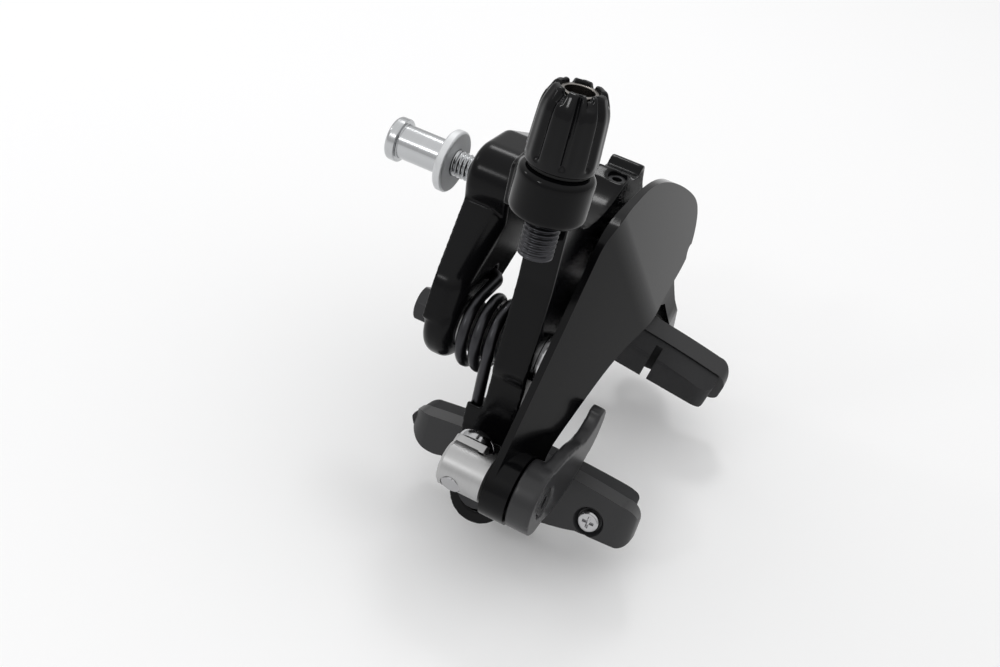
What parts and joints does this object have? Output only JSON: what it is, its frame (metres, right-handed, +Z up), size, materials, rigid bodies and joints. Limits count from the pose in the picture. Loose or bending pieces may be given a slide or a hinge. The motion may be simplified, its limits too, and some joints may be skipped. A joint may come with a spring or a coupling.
{
  "type": "bicycle rim brake caliper",
  "caption": "Side-pull bicycle rim brake caliper with two linked arms, wound return spring, cable adjuster, cable clamp with quick release lever, and brake shoes in slotted legs",
  "frame": {"origin": "on the axis of the mounting stud, in the plane of the bracket's rear seat", "axes": "+X to the right as seen from the front of the bicycle, -Y to the front, +Z up as the caliper hangs on the fork"},
  "size_m": [0.0985, 0.0851, 0.1009],
  "materials": {
    "black_paint": "glossy dark grey to black anodised and lacquered aluminium",
    "bright_metal": "bright machined",
    "steel": "zinc plated, slightly worn",
    "spring_steel": "dark drawn wire",
    "chrome": "polished",
    "rubber": "matt brake compound",
    "seal_rubber": "matt",
    "black_plastic": "satin to glossy",
    "bush_bronze": "plain bearing"
  },
  "bodies": {
    "base": {"bracket": "black_paint", "mounting_stud": "steel", "left_pivot_bolt": "steel", "right_pivot_bolt": "steel", "left_pivot_cap": "bright_metal", "right_pivot_cap": "bright_metal", "spring_sleeve": "bright_metal", "right_spacer": "bright_metal", "return_spring": "spring_steel"},
    "stud_washer": {"stud_washer": "bright_metal"},
    "sleeve_nut": {"sleeve_nut": "chrome"},
    "left_arm": {"left_arm": "black_paint", "left_bush": "bush_bronze", "centring_screw": "steel", "seal_ring": "seal_rubber"},
    "right_arm": {"right_arm": "black_paint", "right_bush": "bush_bronze", "link_pin": "steel"},
    "link_roller": {"link_roller": "bright_metal"},
    "adjuster_seat": {"housing_seat": "black_plastic"},
    "adjuster_knob": {"adjuster_knob": "black_paint", "adjuster_barrel": "steel"},
    "qr_lever": {"quick_lever": "black_paint", "lever_shaft": "steel", "lever_bolt": "steel"},
    "anchor": {"anchor_body": "bright_metal"},
    "cable_plate": {"cable_plate": "bright_metal"},
    "clamp_bolt": {"clamp_bolt": "chrome"},
    "left_shoe_clamp": {"left_shoe_bolt": "steel", "left_shoe_washer": "bright_metal", "left_dished_washers": "bright_metal"},
    "left_shoe": {"left_shoe_holder": "black_paint", "left_brake_pad": "rubber", "left_pad_screw": "chrome"},
    "right_shoe_clamp": {"right_shoe_bolt": "steel", "right_shoe_washer": "bright_metal", "right_dished_washers": "bright_metal"},
    "right_shoe": {"right_shoe_holder": "black_paint", "right_brake_pad": "rubber", "right_pad_screw": "chrome"}
  },
  "joints": [
    {"name": "left_arm_pivot", "type": "hinge", "parent": "base", "child": "left_arm", "pos_m": [-0.0273, -0.0256, -0.0185], "axis": [0, -1, 0], "range_deg": [0, 20], "stiffness_Nm_per_rad": 1, "springref_deg": -20.05, "deforming": ["return_spring"]},
    {"name": "right_arm_pivot", "type": "hinge", "parent": "base", "child": "right_arm", "pos_m": [0.0273, -0.0295, -0.0185], "axis": [0, 1, 0], "range_deg": [0, 20]},
    {"name": "link_roller_spin", "type": "hinge", "parent": "right_arm", "child": "link_roller", "pos_m": [0, -0.0256, -0.002], "axis": [0, 1, 0], "range_deg": [-180, 180]},
    {"name": "nut_turn", "type": "hinge", "parent": "stud_washer", "child": "sleeve_nut", "pos_m": [0, 0.018, 0], "axis": [0, 1, 0], "range_deg": [0, 2160]},
    {"name": "washer_travel", "type": "slide", "parent": "base", "child": "stud_washer", "axis": [0, -1, 0], "range_m": [0, 0.006]},
    {"name": "adjuster_turn", "type": "hinge", "parent": "adjuster_seat", "child": "adjuster_knob", "pos_m": [-0.0382, -0.026, 0.02], "axis": [0.1045, 0, 0.9945], "range_deg": [0, 1440]},
    {"name": "adjuster_travel", "type": "slide", "parent": "left_arm", "child": "adjuster_seat", "axis": [0.1045, 0, 0.9945], "range_m": [0, 0.004]},
    {"name": "quick_release", "type": "hinge", "parent": "right_arm", "child": "qr_lever", "pos_m": [-0.0465, -0.04, -0.037], "axis": [0, -1, 0], "range_deg": [0, 90]},
    {"name": "anchor_swivel", "type": "hinge", "parent": "qr_lever", "child": "anchor", "pos_m": [-0.0476, -0.026, -0.0371], "axis": [0, -1, 0], "range_deg": [-90, 0]},
    {"name": "cable_plate_lift", "type": "slide", "parent": "anchor", "child": "cable_plate", "axis": [0.9511, 0, 0.309], "range_m": [0, 0.0008]},
    {"name": "clamp_bolt_turn", "type": "hinge", "parent": "cable_plate", "child": "clamp_bolt", "pos_m": [-0.0476, -0.0242, -0.0371], "axis": [0.9511, 0, 0.309], "range_deg": [0, 360]},
    {"name": "left_shoe_height", "type": "slide", "parent": "left_arm", "child": "left_shoe_clamp", "axis": [0.342, 0, 0.9397], "range_m": [-0.002, 0.0008]},
    {"name": "left_shoe_angle", "type": "hinge", "parent": "left_shoe_clamp", "child": "left_shoe", "pos_m": [-0.03679, -0.027, -0.0475], "axis": [0.9397, 0, -0.342], "range_deg": [-4, 4]},
    {"name": "right_shoe_height", "type": "slide", "parent": "right_arm", "child": "right_shoe_clamp", "axis": [-0.342, 0, 0.9397], "range_m": [-0.0075, 0.0005]},
    {"name": "right_shoe_angle", "type": "hinge", "parent": "right_shoe_clamp", "child": "right_shoe", "pos_m": [0.03491, -0.0343, -0.04233], "axis": [0.9397, 0, 0.342], "range_deg": [-4, 4]}
  ],
  "couplings": [
    {"joint": "right_arm_pivot", "follows": "left_arm_pivot", "ratio": 1},
    {"joint": "nut_turn", "follows": "washer_travel", "rad_per_m": 6283.2},
    {"joint": "adjuster_turn", "follows": "adjuster_travel", "rad_per_m": 6283.2},
    {"joint": "anchor_swivel", "follows": "quick_release", "ratio": -1},
    {"joint": "clamp_bolt_turn", "follows": "cable_plate_lift", "rad_per_m": 7854}
  ]
}
